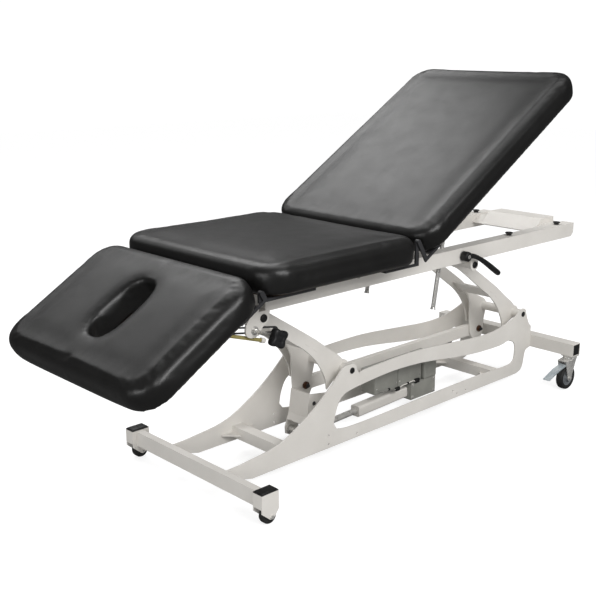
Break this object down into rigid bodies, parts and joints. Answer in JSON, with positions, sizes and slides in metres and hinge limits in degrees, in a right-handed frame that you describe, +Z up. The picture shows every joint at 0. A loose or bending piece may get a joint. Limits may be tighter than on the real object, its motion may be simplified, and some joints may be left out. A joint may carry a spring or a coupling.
{
  "type": "chiropractic table",
  "caption": "Height-adjustable treatment table with black cushions, a face opening, tilting head and back sections, parallel lifting arms and locking rear casters.",
  "frame": {"origin": "bottom centre of the whole table's bounding box, on the floor", "axes": "+X from the head end towards the raised back end, +Y to the far side away from the clamp knob and lever, +Z up"},
  "size_m": [2.1243, 0.711, 1.2214],
  "materials": {
    "white_powder_coat": "satin powder coat",
    "black_vinyl": "matt upholstery vinyl with a soft grain",
    "black_plastic": "matt moulded plastic",
    "dark_steel": "black satin paint",
    "zinc_steel": "bright zinc plating",
    "yellow_zinc": "yellow passivated zinc",
    "grey_housing": "light grey moulded housing",
    "hub_grey": "grey nylon",
    "black_tyre": "solid tyre",
    "brown_bush": "brown bearing plastic",
    "pedal_zinc": "blue passivated zinc",
    "backing_board": "plywood backing board"
  },
  "bodies": {
    "base": {"front_crossbar": "white_powder_coat", "front_posts": "white_powder_coat", "post_caps": "black_plastic", "base_plate_near": "white_powder_coat", "base_plate_far": "white_powder_coat", "low_cross_tubes": "white_powder_coat", "rear_crossbar": "white_powder_coat", "base_shafts": "zinc_steel", "lower_caps": "black_plastic", "actuator_mount": "white_powder_coat", "caster_plates": "zinc_steel"},
    "caster_near": {"caster_fork_near": "zinc_steel"},
    "caster_far": {"caster_fork_far": "zinc_steel"},
    "wheel_near": {"caster_hub_near": "hub_grey", "caster_tyre_near": "black_tyre"},
    "wheel_far": {"caster_hub_far": "hub_grey", "caster_tyre_far": "black_tyre"},
    "pedal_near": {"brake_pedal_near": "pedal_zinc"},
    "pedal_far": {"brake_pedal_far": "pedal_zinc"},
    "front_roller_near": {"roller_near": "black_tyre"},
    "front_roller_far": {"roller_far": "black_tyre"},
    "front_arm": {"front_arm_plates": "white_powder_coat", "front_arm_tubes": "white_powder_coat", "front_crank": "white_powder_coat", "front_crank_pin": "brown_bush"},
    "rear_arm": {"rear_arm_plates": "white_powder_coat", "rear_arm_tubes": "white_powder_coat", "rear_crank": "white_powder_coat", "rear_crank_pin": "brown_bush"},
    "tie": {"tie_bar": "white_powder_coat"},
    "drive_rod": {"actuator_rod": "zinc_steel"},
    "drive": {"actuator_tube": "white_powder_coat", "gear_housing": "grey_housing", "control_box": "grey_housing"},
    "top_frame": {"rail_near": "white_powder_coat", "rail_far": "white_powder_coat", "front_cross_member": "white_powder_coat", "rear_cross_plate": "white_powder_coat", "pivot_lugs": "white_powder_coat", "clamp_lug": "white_powder_coat", "upper_shafts": "zinc_steel", "upper_caps": "black_plastic", "bumpers": "black_plastic", "seat_bars": "dark_steel", "seat_board": "backing_board", "seat_cushion": "black_vinyl"},
    "clamp_knob": {"head_knob": "black_plastic", "head_screw": "zinc_steel"},
    "head_section": {"head_frame": "dark_steel", "head_board": "backing_board", "head_cushion": "black_vinyl"},
    "head_strut": {"head_link": "dark_steel", "head_rod": "yellow_zinc"},
    "back_lever": {"lever_handle": "black_plastic", "lever_screw": "zinc_steel"},
    "back_section": {"back_frame": "dark_steel", "back_board": "backing_board", "back_cushion": "black_vinyl"},
    "back_props": {"prop_rods": "zinc_steel"},
    "prop_collars": {"collars": "dark_steel"}
  },
  "joints": [
    {"name": "lift", "type": "hinge", "parent": "base", "child": "front_arm", "pos_m": [-0.1089, 0, 0.284], "axis": [0, 1, 0], "range_deg": [-20, 30]},
    {"name": "rear_arm_turn", "type": "hinge", "parent": "base", "child": "rear_arm", "pos_m": [0.8691, 0, 0.284], "axis": [0, 1, 0], "range_deg": [-20, 30]},
    {"name": "deck_level", "type": "hinge", "parent": "front_arm", "child": "top_frame", "pos_m": [-0.55624, 0, 0.57009], "axis": [0, 1, 0], "range_deg": [-30, 20]},
    {"name": "tie_turn", "type": "hinge", "parent": "front_arm", "child": "tie", "pos_m": [-0.1399, 0, 0.191], "axis": [0, 1, 0], "range_deg": [-30, 20]},
    {"name": "drive_pin_turn", "type": "hinge", "parent": "front_arm", "child": "drive_rod", "pos_m": [-0.2109, 0, 0.05], "axis": [0, 1, 0], "range_deg": [-24.7, 16.5]},
    {"name": "drive_stroke", "type": "slide", "parent": "drive_rod", "child": "drive", "axis": [0.9994, 0, 0.0343], "range_m": [-0.0765, 0.1145]},
    {"name": "head_tilt", "type": "hinge", "parent": "top_frame", "child": "head_section", "pos_m": [-0.6544, 0, 0.68], "axis": [0, 1, 0], "range_deg": [-20, 31.4]},
    {"name": "head_strut_turn", "type": "hinge", "parent": "head_section", "child": "head_strut", "pos_m": [-0.7649, -0.2117, 0.5713], "axis": [0, 1, 0], "range_deg": [-15.8, 10.1]},
    {"name": "clamp_knob_turn", "type": "hinge", "parent": "top_frame", "child": "clamp_knob", "pos_m": [-0.5889, 0, 0.5395], "axis": [0, 1, 0], "range_deg": [-180, 180]},
    {"name": "back_tilt", "type": "hinge", "parent": "top_frame", "child": "back_section", "pos_m": [-0.0179, 0, 0.73], "axis": [0, -1, 0], "range_deg": [-31.2, 29]},
    {"name": "prop_turn", "type": "hinge", "parent": "back_section", "child": "back_props", "pos_m": [0.3484, 0, 0.8536], "axis": [0, -1, 0], "range_deg": [-10.2, 11]},
    {"name": "collar_slide", "type": "slide", "parent": "back_props", "child": "prop_collars", "axis": [-0.1754, 0, -0.9845], "range_m": [-0.1765, 0.1642]},
    {"name": "back_lever_turn", "type": "hinge", "parent": "top_frame", "child": "back_lever", "pos_m": [0.3521, -0.2205, 0.613], "axis": [0, 1, 0], "range_deg": [-12, 45]},
    {"name": "swivel_near", "type": "hinge", "parent": "base", "child": "caster_near", "pos_m": [0.9551, -0.312, 0.122], "axis": [0, 0, 1], "continuous": true},
    {"name": "swivel_far", "type": "hinge", "parent": "base", "child": "caster_far", "pos_m": [0.9551, 0.312, 0.122], "axis": [0, 0, 1], "continuous": true},
    {"name": "roll_near", "type": "hinge", "parent": "caster_near", "child": "wheel_near", "pos_m": [0.9311, -0.312, 0.049], "axis": [0, 1, 0], "continuous": true},
    {"name": "roll_far", "type": "hinge", "parent": "caster_far", "child": "wheel_far", "pos_m": [0.9311, 0.312, 0.049], "axis": [0, 1, 0], "continuous": true},
    {"name": "pedal_press_near", "type": "hinge", "parent": "caster_near", "child": "pedal_near", "pos_m": [0.9091, -0.312, 0.103], "axis": [0, 1, 0], "range_deg": [-8, 6]},
    {"name": "pedal_press_far", "type": "hinge", "parent": "caster_far", "child": "pedal_far", "pos_m": [0.9091, 0.312, 0.103], "axis": [0, 1, 0], "range_deg": [-8, 6]},
    {"name": "roller_turn_near", "type": "hinge", "parent": "base", "child": "front_roller_near", "pos_m": [-0.6429, -0.323, 0.025], "axis": [0, 1, 0], "continuous": true},
    {"name": "roller_turn_far", "type": "hinge", "parent": "base", "child": "front_roller_far", "pos_m": [-0.6429, 0.323, 0.025], "axis": [0, 1, 0], "continuous": true}
  ],
  "couplings": [
    {"joint": "rear_arm_turn", "follows": "lift", "ratio": 1},
    {"joint": "deck_level", "follows": "lift", "ratio": -1},
    {"joint": "tie_turn", "follows": "lift", "ratio": -1},
    {"joint": "drive_pin_turn", "follows": "lift", "ratio": -0.82},
    {"joint": "drive_stroke", "follows": "lift", "m_per_rad": 0.2177},
    {"joint": "head_strut_turn", "follows": "head_tilt", "ratio": -0.5},
    {"joint": "prop_turn", "follows": "back_tilt", "ratio": -0.35},
    {"joint": "collar_slide", "follows": "back_tilt", "m_per_rad": 0.3237}
  ]
}
